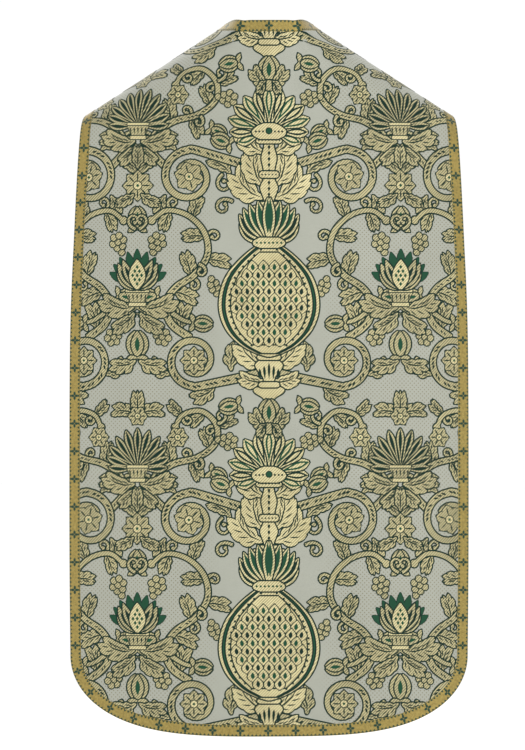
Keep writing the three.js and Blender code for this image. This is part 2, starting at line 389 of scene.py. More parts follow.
def add_mesh(name, net, materials):
    """A mesh object from a net: points in mm, triangles, a normal and a flat place in mm for each
    point, and the number of each triangle's material."""
    points, faces, normals, uv, slots = net
    mesh = bpy.data.meshes.new(name)
    mesh.from_pydata(points * METRE, [], faces)
    for material in materials:
        mesh.materials.append(material)
    mesh.polygons.foreach_set("material_index", slots.astype(np.int32))
    layer = mesh.uv_layers.new(name="flat_mm")
    layer.data.foreach_set("uv", uv[faces.ravel()].astype(np.float32).ravel())
    mesh.polygons.foreach_set("use_smooth", np.ones(len(faces), bool))
    mesh.normals_split_custom_set_from_vertices(normals)
    made = bpy.data.objects.new(name, mesh)
    bpy.context.scene.collection.objects.link(made)
    return made


def rim_of(places, faces, low, high):
    """Wall between two distances round the open edge of a net: its points, faces and normals, the
    numbers of the net's points that it uses, and its edges."""
    pairs = sides_of(faces)
    _, first, counts = np.unique(np.sort(pairs, axis=1), axis=0, return_index=True, return_counts=True)
    rim = pairs[first[counts == 1]]
    used, rim = np.unique(rim, return_inverse=True)
    rim = rim.reshape(-1, 2)
    count = len(used)
    top, normal = on_cloth(places[used], high)
    bottom, _ = on_cloth(places[used], low)
    run = top[rim[:, 1]] - top[rim[:, 0]]
    out = np.zeros((count, 3))
    for end in (0, 1):
        np.add.at(out, rim[:, end], np.cross(run, normal[rim[:, end]]))
    out /= np.linalg.norm(out, axis=1, keepdims=True) + 1e-12
    a, b = rim.T
    walls = np.concatenate([np.stack([a, a + count, b + count], 1), np.stack([a, b + count, b], 1)])
    return np.vstack([top, bottom]), walls, np.vstack([out, out]), used, rim


def facing_out(points, faces, normals):
    """Faces turned round where they look against their points' normals."""
    a, b, c = (points[faces[:, k]] for k in range(3))
    looks = (np.cross(b - a, c - a) * normals[faces].sum(axis=1)).sum(axis=1)
    return np.where((looks < 0)[:, None], faces[:, ::-1], faces)


def join(nets):
    """Joins several nets into one. Each is its points, its faces, and what else goes with them."""
    joined = [np.concatenate([net[k] for net in nets]) for k in range(len(nets[0]))]
    starts = np.cumsum([0] + [len(net[0]) for net in nets[:-1]])
    joined[1] = np.concatenate([net[1] + start for net, start in zip(nets, starts)])
    return joined


def grid_faces(rows, columns):
    """Triangles over a grid of numbered points, two to a cell."""
    at = np.arange(rows * columns).reshape(rows, columns)
    a, b, c, d = at[:-1, :-1].ravel(), at[1:, :-1].ravel(), at[1:, 1:].ravel(), at[:-1, 1:].ravel()
    return np.concatenate([np.stack([a, b, c], 1), np.stack([a, c, d], 1)])


def grid_net(points, uv, flip=False, closed=False):
    """A net over a grid of points: its normals come from the grid's slopes, which run on round the
    grid where it is closed."""
    rows, columns = points.shape[:2]
    wrapped = np.concatenate([points[-2:-1], points, points[1:2]]) if closed else points
    down = np.gradient(wrapped, axis=0)
    down = down[1:-1] if closed else down
    normals = np.cross(down, np.gradient(points, axis=1))
    normals *= (-1 if flip else 1) / (np.linalg.norm(normals, axis=-1, keepdims=True) + 1e-12)
    faces = grid_faces(rows, columns)
    points, normals = points.reshape(-1, 3), normals.reshape(-1, 3)
    faces = facing_out(points, faces, normals)
    return points, faces, normals, uv.reshape(-1, 2), np.zeros(len(faces), int)


# Galloon


def inset(path, side, distance):
    """A path moved sideways over the cloth: in a few short steps, square to the way it runs."""
    run = np.gradient(smooth_cloth(*path.T), axis=0)
    here = path.copy()
    for _ in range(INSET_STEPS):
        across, along = (slope / (2 * SLOPE_STEP) for slope in slopes_of(smooth_cloth, *here.T))
        inward = np.cross(np.cross(along, across), run)
        inward *= side / np.linalg.norm(inward, axis=1, keepdims=True)
        a, b, c = ((p * q).sum(axis=1) for p, q in ((across, across), (across, along), (along, along)))
        p, q = (across * inward).sum(axis=1), (along * inward).sum(axis=1)
        move = np.stack([c * p - b * q, a * q - b * p], axis=1)
        here += move * (distance / INSET_STEPS / (a * c - b * b))[:, None]
    return here


def meet_seam(path, place):
    """Shifts the end of a path to a place on the seam, and what is before it by less and less."""
    end = path[-1].copy()
    fade = np.exp(-np.linalg.norm(path - end, axis=1) / SEAM_REACH)
    return path + (place - end) * fade[:, None]


def way_along(path):
    """Length of a path of places on the cloth."""
    return length_of(smooth_cloth(*path.T))


def galloon_net(path, inner, middle, closed):
    """A woven band: its top is a shallow crown with a raised cord along both edges. A cross of its
    pattern lies at the middle, a way along the path."""
    length = way_along(path)
    count = int(length / BAND_STEP)
    both = even_steps(np.hstack([path, inner]), count, smooth_cloth(*path.T))
    across = np.linspace(0, 1, BAND_COLUMNS)
    places = both[:, None, :2] + (both[:, None, 2:] - both[:, None, :2]) * across[:, None]
    way = np.linspace(0, length, count) - middle
    uv = np.stack(np.broadcast_arrays(way[:, None], across * TRIM_WIDTH), axis=-1)
    cords = np.exp(-(((np.abs(across - 0.5) - CORD_PLACE) / CORD_SPREAD) ** 2))
    crown = TRIM_THICK * (BAND_RISE + CROWN_RISE * (1 - (2 * across - 1) ** 4)) + CORD_RISE * cords
    crown[[0, -1]] = TRIM_THICK * EDGE_RISE
    top, _ = on_cloth(places, BAND_SEAT + crown)
    bottom, _ = on_cloth(places, BAND_SEAT)
    nets = [grid_net(top, uv, False, closed), grid_net(bottom, uv, True, closed)]
    for column in (0, -1):
        wall = np.stack([top[:, column], bottom[:, column]], axis=1)
        nets.append(grid_net(wall, uv[:, [column, column]], column == 0, closed))
    if not closed:
        for row in (0, -1):
            end = np.stack([top[row], bottom[row]], axis=1)
            nets.append(grid_net(end, uv[[row, row]].transpose(1, 0, 2), row == -1))
    return join(nets)


# Vocabulary of the figure: strokes and petals, drawn on the half repeat in mm


def turned(points, angle, place):
    """Points turned by an angle in degrees and moved to a place."""
    a = np.radians(angle)
    turn = np.array([[np.cos(a), np.sin(a)], [-np.sin(a), np.cos(a)]])
    return np.asarray(points, float) @ turn + place


def headings(spine):
    """The way that a stroke runs at each of its points, in degrees."""
    along = np.gradient(spine, axis=0)
    return np.degrees(np.arctan2(along[:, 1], along[:, 0]))


def walked(place, turns, length):
    """A path from a place in equal steps, each turned its own way."""
    step = np.stack([np.cos(turns), np.sin(turns)], axis=1) * length / (len(turns) - 1)
    return np.vstack([[0, 0], np.cumsum(step[1:], axis=0)]) + place


def ribbon(spine, half):
    """Outline of a stroke: its spine moved to both sides by the half widths."""
    along = np.gradient(spine, axis=0)
    across = np.stack([-along[:, 1], along[:, 0]], axis=1)
    across /= np.linalg.norm(across, axis=1)[:, None] + 1e-9
    across *= np.reshape(half, (-1, 1))
    return np.vstack([spine + across, (spine - across)[::-1]])


def grown(spine, half, more):
    """A stroke made wider by more all round, its blunted ends too."""
    along = np.gradient(spine, axis=0)
    along /= np.linalg.norm(along, axis=1)[:, None] + 1e-9
    longer = np.vstack([spine[0] - along[0] * more, spine, spine[-1] + along[-1] * more])
    wider = np.concatenate([[half[0] * 0.6], half, [half[-1] * 0.6]])
    return ribbon(longer, wider + more * np.concatenate([[0.35], np.ones(len(half)), [0.35]]))


class Drawing:
    """Closed outlines with the weave inside each, the later ones on top."""

    def __init__(self):
        self.shapes = []

    def add(self, outline, weave):
        """Adds an outline."""
        self.shapes.append((np.asarray(outline, float), weave))

    def fill(self, stroke, weave):
        """Adds a stroke, its spine and half widths, without a dark edge."""
        self.add(ribbon(*stroke), weave)

    def strokes(self, parts, weave=GOLD, line=LINE_WIDTH):
        """Strokes that grow together: all their dark edges first, then all their fillings."""
        for spine, half in parts:
            self.add(grown(spine, half, line), LINE)
        for part in parts:
            self.fill(part, weave)

    def stem(self, points, width):
        """A stroke along a smooth curve, a quarter thinner at its end."""
        self.strokes([(smooth(points, 8), np.linspace(1, 0.75, 8) * width / 2)])

    def disc(self, place, radius, weave=GOLD, line=LINE_WIDTH, count=12):
        """A round of so many sides, with a dark edge where line isn't nought."""
        a = np.linspace(0, 2 * np.pi, count, endpoint=False)
        ring = np.stack([np.cos(a), np.sin(a)], axis=1)
        if line:
            self.add(ring * (radius + line) + place, LINE)
        self.add(ring * radius + place, weave)


def petal(place, angle, length, width, bend=0.0, tip=0.75, count=9):
    """Spine and half widths of a petal: it bends along its length, and is widest at tip."""
    t = np.linspace(0, 1, count)
    spine = walked(place, np.radians(angle) + np.radians(bend) * t, length)
    power = np.log(0.5) / np.log(tip)
    half = width / 2 * np.sin(np.pi * np.clip(t, 0.02, 0.985) ** power) ** 0.8
    return spine, np.maximum(half, 0.25)


def vein(d, spine, start, end, width):
    """A thin dark line along part of a spine, pointed at both ends."""
    part = spine[np.round(np.linspace(start, end, 4) * (len(spine) - 1)).astype(int)]
    d.fill((part, np.array([0.15, 0.5, 0.42, 0.12]) * width), LINE)


def core_of(leaf, first, last, share):
    """A stroke along the middle of part of a petal, a share of its width and thin at both ends."""
    spine, half = leaf[0][first:last], leaf[1][first:last]
    return spine, half * share * np.sin(np.linspace(0.1, np.pi - 0.1, len(spine))) ** 0.6


def slotted(d, leaf, weave, *slots):
    """A petal with lenses in its middle: first and last point, share of the width, and weave."""
    d.strokes([leaf], weave)
    for first, last, share, inside in slots:
        d.fill(core_of(leaf, first, last, share), inside)


def acanthus(d, place, angle, length, bend, lobes=3, weave=GOLD):
    """A curling leaf: lobes stand off a bent rib on both sides, longest near its middle."""
    rib, half = petal(place, angle, length, length * 0.2, bend, tip=0.35, count=14)
    parts = [(rib, half)]
    ways = headings(rib)
    for side in (1, -1):
        for k in range(lobes):
            t = 0.16 + 0.68 * (k + (0.25 if side > 0 else 0)) / lobes
            i = int(t * 13)
            size = length * 0.5 * (0.62 + 0.5 * np.sin(np.pi * t)) * (1 - 0.35 * t)
            turn = ways[i] + side * (50 - 12 * t)
            parts.append(petal(rib[i], turn, size, size * 0.46, -side * 34, tip=0.56, count=7))
    d.strokes(parts, weave)
    vein(d, rib, 0.05, 0.85, 2.5)
    for spine, _ in parts[1:]:
        vein(d, spine, 0.15, 0.74, 2.1)


def scroll(start, centre, radius, turns):
    """A spine that comes from start, joins a circle round centre and winds inwards."""
    start, centre = np.asarray(start, float), np.asarray(centre, float)
    way = np.degrees(np.arctan2(*(start - centre)[::-1]))
    touch = np.degrees(np.arccos(min(radius / np.linalg.norm(start - centre), 1)))
    a = np.radians(way + np.sign(turns) * (touch + np.linspace(0, abs(turns) * 360, 34)))
    r = radius * np.linspace(1, 0.42, 34) ** 0.9
    return np.vstack([start, centre + np.stack([np.cos(a), np.sin(a)], axis=1) * r[:, None]])


def curl(d, place, angle, length, bend):
    """A short stroke that winds up more and more towards its end, with a small round on its tip."""
    t = np.linspace(0, 1, 14)
    spine = walked(place, np.radians(angle + bend * t**1.7), length)
    d.disc(spine[-1], CURL_STROKE * 0.62, count=9)
    d.strokes([(spine, CURL_STROKE / 2 * (1 - 0.5 * t))])
    d.disc(spine[-1], CURL_STROKE * 0.62, line=0, count=9)


def marks(d, spine, first, last, every, size):
    """A row of small lens shapes that lean across a stroke."""
    way, angles = ways_of(spine), headings(spine) + 32
    lens = np.array([(-1, 0), (-0.3, 0.36), (0.35, 0.3), (1, 0), (0.3, -0.36), (-0.35, -0.3)]) * size
    for i in np.searchsorted(way, np.arange(first, last, every)):
        d.add(turned(lens, angles[i], spine[i]), LINE)


def berries(d, place, angle, radius, rows=(1, 2, 3, 2)):
    """A bunch of round berries in rows, the rows crossing its length."""
    step = radius * 1.85
    for j, many in enumerate(rows):
        for k in range(many):
            spot = ((len(rows) - 1 - j) * step * 0.92, (k - (many - 1) / 2) * step)
            d.disc(turned([spot], angle, place)[0], radius, GOLD, 1.9, 9)


def rosette(d, place, radius, petals, turn=0.0):
    """Round petals about an eye."""
    width = radius * 4.4 / petals
    parts = [petal(place, turn + 360 * k / petals, radius, width, 0, 0.68, 8) for k in range(petals)]
    d.strokes(parts)
    for spine, _ in parts:
        vein(d, spine, 0.35, 0.9, 2.5)
    d.disc(place, radius * 0.27, LIGHT, 1.6, 10)
    d.disc(place, radius * 0.1, GREEN, 0, 7)


def tulip(d, place, angle, size):
    """A bud of bent petals that close over a green heart, between two small leaves."""
    for side in (1, -1):
        d.strokes([petal(place, angle - side * 46, size, size * 0.36, side * 38 * 1.9, 0.5)])
    d.strokes([petal(place, angle, size * 0.92, size * 0.42, 0, 0.5)])
    heart = turned([(size * 0.22, 0)], angle, place)[0]
    d.fill(petal(heart, angle, size * 0.5, size * 0.17, 0, 0.5), GREEN)
    d.strokes([petal(place, angle + s * 78, size * 0.42, size * 0.2, s * 50, 0.55, 7) for s in (1, -1)])


def fan(d, place, radius, ribs, spread):
    """Upright ribs that spread from one place, each with a dark slot down its middle."""
    parts = []
    for a in np.linspace(-spread / 2, spread / 2, ribs):
        length = radius * (1 - 0.22 * (abs(a) / (spread / 2)) ** 2)
        parts.append(petal(place, 90 + a, length, radius * 2.1 / ribs, -a * 0.25, 0.74))
    d.strokes(parts)
    for leaf in parts:
        d.fill(core_of(leaf, 2, 9, 0.5), LINE)


def turned_shape(d, profile, weave=LIGHT):
    """A shape on the axis, from a table of (height, half width): its right half is drawn."""
    p = np.asarray(profile, float)
    edge = smooth(p[:, ::-1], 3 * len(p))
    whole = np.vstack([edge, (edge * (-1, 1))[::-1]])
    along = np.gradient(np.vstack([whole[-1], whole, whole[0]]), axis=0)[1:-1]
    out = np.stack([along[:, 1], -along[:, 0]], axis=1)
    out /= np.linalg.norm(out, axis=1)[:, None] + 1e-9
    outward = np.sign(((whole - whole.mean(axis=0)) * out).sum())
    d.add(whole + out * LINE_WIDTH * outward, LINE)
    d.add(whole, weave)


def collar(d, y, half_width, half_height):
    """A rounded ring on the axis."""
    high, narrow = half_height, half_width * 0.8
    profile = (-high, narrow), (-high / 2, half_width), (high / 2, half_width), (high, narrow)
    turned_shape(d, [(y + rise, width) for rise, width in profile])


def beads(d, across, y, radius, weave=LINE, count=7):
    """A row of small rounds without edges."""
    for x in across:
        d.disc((x, y), radius, weave, 0, count)


def leaves(d, rows, lobes=3, weave=GOLD):
    """Curling leaves: place, angle, length and bend of each."""
    for row in rows:
        acanthus(d, *row, lobes, weave)


def leafy(d, points, width, every, size, side):
    """A stem with leaves on alternate sides, which grow smaller towards its end, and a curl across
    from every second one."""
    spine = smooth(points, int(length_of(points) / 6))
    way, angles = ways_of(spine), headings(spine)
    for k, at in enumerate(np.arange(every * 0.5, way[-1] - every * 0.3, every)):
        i = int(np.searchsorted(way, at))
        acanthus(d, spine[i], angles[i] + side * 50, size * (1 - 0.3 * at / way[-1]), side * 46)
        if k % 2:
            curl(d, spine[i], angles[i] - side * 36, size * 0.85, -side * 300)
        side = -side
    d.disc(spine[-1], width * 0.55)
    d.strokes([(spine, np.linspace(1, 0.55, len(spine)) * width / 2)])
    d.disc(spine[-1], width * 0.55, line=0)
    marks(d, spine, 10, way[-1] * 0.6, 8.5, 3.4)


# Motifs of the figure


def medallion(d):
    """A medallion on the main axis: banded rim, then rows of scales and a string of beads."""
    rim = [(58, 3), (64, 22), (78, 47), (100, 68), (128, 79), (156, 79), (184, 70), (206, 54)]
    rim += [(224, 35), (238, 16), (248, 4)]
    turned_shape(d, rim)
    for less, ends, weave in ((6.5, 1, GREEN), (11, 1, LIGHT), (20, 2, LIGHT)):
        heart = [(y, max(w - less, 0.6)) for y, w in rim[ends:-ends]]
        turned_shape(d, heart, weave)
    for row, y in enumerate(np.arange(202, 84, -13)):
        room = np.interp(y - 5, *np.array(heart).T) - 2
        for x in np.arange(0 if row % 2 else 8.5, max(room - 5, 0.1), 17.0):
            lean = 90 - 12 * x / 60
            d.strokes([petal((x, y - 10), lean, 19, 16, 0, 0.42, 8)], LIGHT, 1.9)
            d.fill(petal((x, y - 6), lean, 10.5, 6.2, 0, 0.45, 6), LINE if row % 2 else GREEN)
    heights = np.arange(76, 232, 9.0)
    for y, x in zip(heights, np.interp(heights, *np.array(rim).T) - 15.5):
        if x > 3:
            d.disc((x, y), 2.0, LINE, 0, 7)


def crown(d):
    """Flame leaves over the medallion, and a collar where they start."""
    flames = (-6, 56, 70), (16, 64, 50), (36, 66, 32), (54, 66, 18), (72, 66, 8), (90, 70, 0)
    for angle, size, bend in flames:
        inside = GREEN if angle > 30 else LINE
        slotted(d, petal((2, 242), angle, size, 15, bend, 0.56, 11), LIGHT, (2, 11, 0.62, inside))
    turned_shape(d, [(232, 14), (236, 24), (242, 25), (248, 16)])
    beads(d, (0, 6.5, 13, 19.5), 240, 1.9, GREEN)


def candelabrum(d):
    """Turned stem on the main axis, with collars and leaves."""
    rows = ((8, 312), 4, 70, 80), ((8, 330), 40, 66, 70), ((8, 384), 14, 60, 70), ((6, 300), -30, 46, -60)
    leaves(d, rows, 4, LIGHT)
    profile = [(296, 9), (306, 7), (318, 11), (328, 14), (338, 10), (346, 7), (360, 9), (376, 12)]
    turned_shape(d, profile + [(392, 8), (404, 7)])
    for y in np.arange(306, 398, 9.5):
        d.fill(petal((0, y - 4.5), 90, 9, 4.6, count=6), LINE)
    for y, w in ((300, 16), (349, 15), (404, 20)):
        collar(d, y, w, 5)
        beads(d, np.arange(0, w - 3, 5.5), y, 1.5, count=6)


def shell(d):
    """Scalloped shell over the stem, with a bud on top that reaches the next repeat."""
    for k, (angle, size) in enumerate(((-14, 52), (4, 62), (22, 68), (40, 70), (57, 70), (74, 70), (90, 72))):
        inside = LINE if k % 2 else GREEN
        rib = petal((0, 416), angle, size, 18, -6 + k, 0.78, 11)
        slotted(d, rib, LIGHT, (3, 11, 0.68, inside), (5, 10, 0.3, LIGHT))
    turned_shape(d, [(406, 14), (411, 24), (419, 27), (427, 18), (431, 8)])
    d.disc((0, 419), 4.4, GREEN, 1.4, 10)
    beads(d, (9.5, 15.5, 21), 418, 1.8)
    tulip(d, (0, 496), 90, 46)
    leaves(d, (((3, 492), 20, 40, 70), ((3, 500), -36, 26, -50)))
    d.stem([(0, 484), (0, 500)], 9)


def foot(d):
    """Baluster under the medallion, which stands on the bud of the repeat below."""
    leaves(d, (((6, 44), 8, 62, 70), ((6, 20), -24, 44, 70)), 4, LIGHT)
    profile = [(-12, 6), (-6, 12), (0, 22), (6, 24), (12, 12), (17, 8), (26, 10), (36, 18), (45, 22)]
    turned_shape(d, profile + [(53, 14), (58, 8), (64, 6)])
    for y, w in ((13, 16), (57, 18)):
        collar(d, y, w, 4)
    for x in (0, 6.5, 13):
        d.fill(petal((x, 22), 90 - x * 0.6, 26 - x * 0.7, 4.4, 0, 0.6, 7), LINE)


def lily(d, place, size):
    """Open flower on the side axis: pointed petals, a green crest behind, a scaled heart."""
    x, y = place
    crest = [(90 + k * 15, size * (1.22 - 0.05 * abs(k))) for k in range(-4, 5)]
    d.strokes([petal(place, angle, length, size * 0.24, 0, 0.72, 8) for angle, length in crest], GREEN, 1.0)
    for side in (-1, 1):
        for spread, bend, length in ((84, -74, 0.94), (60, -40, 1.0), (36, -16, 1.0)):
            leaf = petal(place, 90 + side * spread, size * length, size * 0.26, side * bend, 0.52, 11)
            slotted(d, leaf, GOLD, (2, 9, 0.46, LINE))
    d.strokes([petal(place, 90, size * 0.9, size * 0.5, 0, 0.45)], LIGHT)
    lozenge = np.array([(-1, 0), (0, -1.35), (1, 0), (0, 1.35)]) * size * 0.05
    for j, many in enumerate((1, 2, 3, 2, 1)):
        for k in range(many):
            d.add(lozenge + (x + (k - (many - 1) / 2) * size * 0.14, y + size * (0.16 + 0.13 * j)), GREEN)


def side_cup(d, place, size):
    """Small turned cup that carries a flower of the side axis."""
    x, y = place
    parts = (0, 5, 0.36, 0.36, LIGHT), (-16, 0, 0.2, 0.36, GOLD), (-21, -16, 0.26, 0.26, LIGHT)
    for low, high, w0, w1, weave in parts:
        shape = np.array([(-w0, low), (w0, low), (w1, high), (-w1, high)]) * (size, 1) + (x, y)
        d.add(shape + np.sign(shape - shape.mean(axis=0)) * 1.5, LINE)
        d.add(shape, weave)
    for s in (-0.8, -0.4, 0, 0.4, 0.8):
        d.fill(petal((x + s * size * 0.28, y - 14), 90 - 14 * s, 12, 2.6, count=6), LINE)


def vines(d):
    """Scrolling stems between the two axes, with their leaves, fruit and flowers."""
    low = smooth(scroll((18, 30), (120, 52), 42, 1.15), 48)
    high = smooth(scroll((10, 356), (128, 346), 44, -1.2), 48)
    leaves(d, (((60, 36), 74, 48, 70), ((88, 10), -60, 44, 70), ((158, 30), 0, 42, 80)))
    leaves(d, (((62, 350), 66, 46, -70), ((150, 390), 50, 44, -60), ((166, 316), -50, 40, -60)))
    curl(d, (74, 350), -40, 56, -310)
    stem = [(126, 88), (156, 110), (166, 140), (150, 168), (118, 190), (98, 222), (104, 258), (130, 284)]
    leafy(d, stem + [(164, 292), (188, 276)], 11, 37, 50, 1)
    stem = [(164, 360), (188, 388), (182, 416), (152, 436), (114, 446), (86, 468), (84, 498), (108, 520)]
    leafy(d, stem + [(138, 514), (150, 494)], 10.5, 36, 44, -1)
    for spine in (low, high):
        d.strokes([(spine, np.linspace(6.6, 3.4, 48))])
        marks(d, spine, 34, 190, 9.5, 4.6)
    curl(d, (58, 306), 30, 62, -330)
    curl(d, (112, 206), 196, 40, 300)
    d.stem([(156, 128), (136, 116), (118, 112)], 6.5)
    tulip(d, (122, 112), 184, 34)
    berries(d, (92, 182), 250, 4.8, (1, 2, 2, 1))
    curl(d, (82, 500), 170, 44, -300)
    tulip(d, (94, 424), 205, 30)
    curl(d, (110, 444), 225, 30, 240)
    for row in (((120, 52), 21, 8), ((128, 346), 23, 6, 15), ((146, 478), 16, 6)):
        rosette(d, *row)
    for row in (((176, 250), -70, 5.2), ((164, 84), 40, 5.0), ((56, 470), 10, 5.0)):
        berries(d, *row)
    for place, angle in (((178, 156), -10), ((62, 398), 20), ((48, 530), -10)):
        tulip(d, place, angle, 34)


def draw_half_repeat():
    """All the outlines of the half repeat: the vines, the main axis, then the side axis."""
    d = Drawing()
    # The main axis's motifs are mostly drawn in the lighter gilt, which is a painted sheen down the middle
    # column.
    for motif in (vines, candelabrum, foot, medallion, crown, shell):
        motif(d)
    leaves(d, (((206, 138), 205, 60, -80), ((206, 128), 245, 46, -60)), 4)
    side_cup(d, (211, 160), 52)
    lily(d, (211, 166), 52)
    leaves(d, (((206, 404), 205, 54, -80), ((208, 398), 250, 40, -50)), 4)
    fan(d, (211, 430), 62, 11, 210)
    side_cup(d, (211, 428), 48)
    rosette(d, (211, 332), 24, 8)
    leaves(d, (((211, 360), 90, 36, 0), ((205, 318), 226, 34, -40)))
    tulip(d, (211, 56), 90, 46)
    leaves(d, [((208, 52), 222, 46, -70)])
    tulip(d, (211, 262), 90, 38)
    curl(d, (208, 262), 160, 48, -300)
    leaves(d, (((207, 514), 140, 42, 70), ((211, 510), 90, 42, 0)))
    rosette(d, (211, 512), 15, 6)
    return d.shapes


# The figured weave: one half repeat as a net of triangles, laid mirrored side by side on the cloth


def cut_to_box(outline, low, high):
    """An outline cut to a box: each side in turn keeps what lies on its inner side."""
    for axis, limit, sign in ((0, low[0], 1), (0, high[0], -1), (1, low[1], 1), (1, high[1], -1)):
        if len(outline) == 0:
            return outline
        depth = (outline[:, axis] - limit) * sign
        after, depth_after = np.roll(outline, -1, axis=0), np.roll(depth, -1)
        crossing = (depth > 0) != (depth_after > 0)
        cuts = outline + (after - outline) * (depth / np.where(crossing, depth - depth_after, 1))[:, None]
        cuts[:, axis] = limit
        both = np.stack([outline, cuts], axis=1).reshape(-1, 2)
        outline = both[np.stack([depth > 0, crossing], axis=1).ravel()]
    return outline


def weave_at(shapes, places):
    """The weave of the topmost shape at each place."""
    found = np.full(len(places), GROUND)
    for outline, weave in shapes:
        low, high = outline.min(axis=0), outline.max(axis=0)
        near = np.flatnonzero(((places >= low) & (places <= high)).all(axis=1))
        if len(near):
            found[near[inside_of(outline, places[near])]] = weave
    return found


def visible_edges(faces, weaves):
    """Edges between two weaves, and edges on the border."""
    pairs = np.sort(sides_of(faces), axis=1)
    order = np.lexsort(pairs.T)
    pairs, owners = pairs[order], np.tile(weaves, 3)[order]
    same = (pairs[1:] == pairs[:-1]).all(axis=1)
    first = np.concatenate([[True], ~same])
    twin = np.concatenate([same, [False]])
    differs = np.concatenate([owners[1:] != owners[:-1], [False]])
    return pairs[first & (~twin | differs)]


def straightened(places, edges, fixed):
    """Edges without the points that lie almost on the line between their two neighbours. A point
    goes only where it is straighter than both, so that two neighbours never go together."""
    for _ in range(STRAIGHTENING_ROUNDS):
        count = np.bincount(edges.ravel(), minlength=len(places))
        ends = np.concatenate([edges, edges[:, ::-1]])
        ends = ends[np.argsort(ends[:, 0], kind="stable")]
        start = np.searchsorted(ends[:, 0], np.arange(len(places)))
        two = np.flatnonzero((count == 2) & ~fixed)
        a, b = ends[start[two], 1], ends[start[two] + 1, 1]
        to_a, to_b = places[a] - places[two], places[b] - places[two]
        span = np.linalg.norm(to_a - to_b, axis=1)
        off = np.abs(to_a[:, 0] * to_b[:, 1] - to_a[:, 1] * to_b[:, 0]) / (span + 1e-9)
        straight = (off < STRAIGHT) & ((to_a * to_b).sum(axis=1) < 0)
        rank = np.full(len(places), np.inf)
        rank[two[straight]] = off[straight] + 1e-9 * two[straight]
        goes = straight & (rank[two] < rank[a]) & (rank[two] < rank[b])
        gone = np.zeros(len(places), bool)
        gone[two[goes]] = True
        joined = np.stack([a[goes], b[goes]], axis=1)
        edges = np.unique(np.sort(np.vstack([edges[~gone[edges].any(axis=1)], joined]), axis=1), axis=0)
    return edges


def band_net(shapes, low, high):
    """Net of one band of the half repeat: all the outlines first, then those that show, with a grid
    of points between them for the cloth's own curves."""
    size = high - low
    counts = np.round(size / NET_SPACING).astype(int) + 1
    xs, ys = (np.linspace(*ends) for ends in zip(low, high, counts))
    corners = [low, (high[0], low[1]), high, (low[0], high[1])]
    border = [np.stack([xs, np.full(len(xs), y)], axis=1) for y in (low[1], high[1])]
    border += [np.stack([np.full(len(ys), x), ys], axis=1) for x in (low[0], high[0])]
    cuts = [cut_to_box(outline, low, high) for outline, _ in shapes]
    cuts = [cut for cut in cuts if len(cut) > 2] + [np.array(corners, float)]
    starts = np.cumsum([0] + [len(cut) for cut in cuts])
    edges = np.vstack([loop_edges(len(cut), start) for cut, start in zip(cuts, starts)])
    places, faces = triangles_of(np.vstack(cuts + border), edges)
    kept = visible_edges(faces, weave_at(shapes, places[faces].mean(axis=1)))
    kept = straightened(places, kept, ((places == low) | (places == high)).any(axis=1))
    used, kept = np.unique(kept, return_inverse=True)
    grid = np.stack(np.meshgrid(xs[1:-1], ys[1:-1]), axis=-1).reshape(-1, 2)
    places, faces = triangles_of(np.vstack([places[used], grid]), kept.reshape(-1, 2))
    return places, faces, weave_at(shapes, places[faces].mean(axis=1))


def half_repeat(shapes):
    """The half repeat's net, made band by band. A shape that runs over the top comes in below."""
    shapes = [(np.round(outline * DRAWN_TO) / DRAWN_TO + (0, lift), weave)
              for outline, weave in shapes for lift in (-REPEAT_HEIGHT, 0, REPEAT_HEIGHT)]
    levels = np.linspace(0, REPEAT_HEIGHT, BANDS + 1)
    nets = []
    for bottom, top in zip(levels[:-1], levels[1:]):
        low, high = np.array([0, bottom]), np.array([REPEAT_WIDTH / 2, top])
        here = [shape for shape in shapes
                if (shape[0].max(axis=0) > low).all() and (shape[0].min(axis=0) < high).all()]
        nets.append(band_net(here, low, high))
    return join(nets)


def without_doubles(data, places, steps, faces, weaves):
    """A net whose points are rows of data. Those that fall together at so many steps to a mm become
    one, and triangles that lose a side by it go."""
    keys = np.round(places * steps).astype(np.int64)
    keys = keys[:, 0] * KEY_ROW + keys[:, 1]
    _, first, number = np.unique(keys, return_index=True, return_inverse=True)
    faces = number.ravel()[faces]
    whole = (faces != np.roll(faces, 1, axis=1)).all(axis=1)
    used, faces = np.unique(faces[whole], return_inverse=True)
    return data[first[used]], faces.reshape(-1, 3), weaves[whole]


def repeated(half, low, high, rise):
    """Half repeats side by side, each the mirror image of the next, over a stretch of flat cloth.
    rise is the height of the foot of a repeat."""
    places, faces, weaves = half
    foot = np.array([0, rise])
    size = np.array([REPEAT_WIDTH / 2, REPEAT_HEIGHT])
    first, last = np.floor((low - foot) / size).astype(int), np.ceil((high - foot) / size).astype(int)
    nets = []
    for column in range(first[0], last[0]):
        flipped = column % 2 == 1
        across = size[0] - places[:, 0] if flipped else places[:, 0]
        for row in range(first[1], last[1]):
            flat = np.stack([across + column * size[0], places[:, 1] + row * size[1] + rise], axis=1)
            near = ((flat[faces] > low) & (flat[faces] < high)).any(axis=1).all(axis=1)
            nets.append((flat, (faces[:, ::-1] if flipped else faces)[near], weaves[near]))
    flat, faces, weaves = join(nets)
    return without_doubles(flat, flat, REPEAT_STEPS, faces, weaves)


def drawn_in(u):
    """Distance from the middle line in space, for a way on the cloth, which curls in at the sides."""
    x = np.linspace(0, 400, 401)
    slope = 3 * SIDE_CURL * x**2 / CURL_WIDTH**3
    way = np.concatenate([[0], np.cumsum(np.sqrt(1 + ((slope[1:] + slope[:-1]) / 2) ** 2))])
    return np.interp(np.abs(u), way, x)


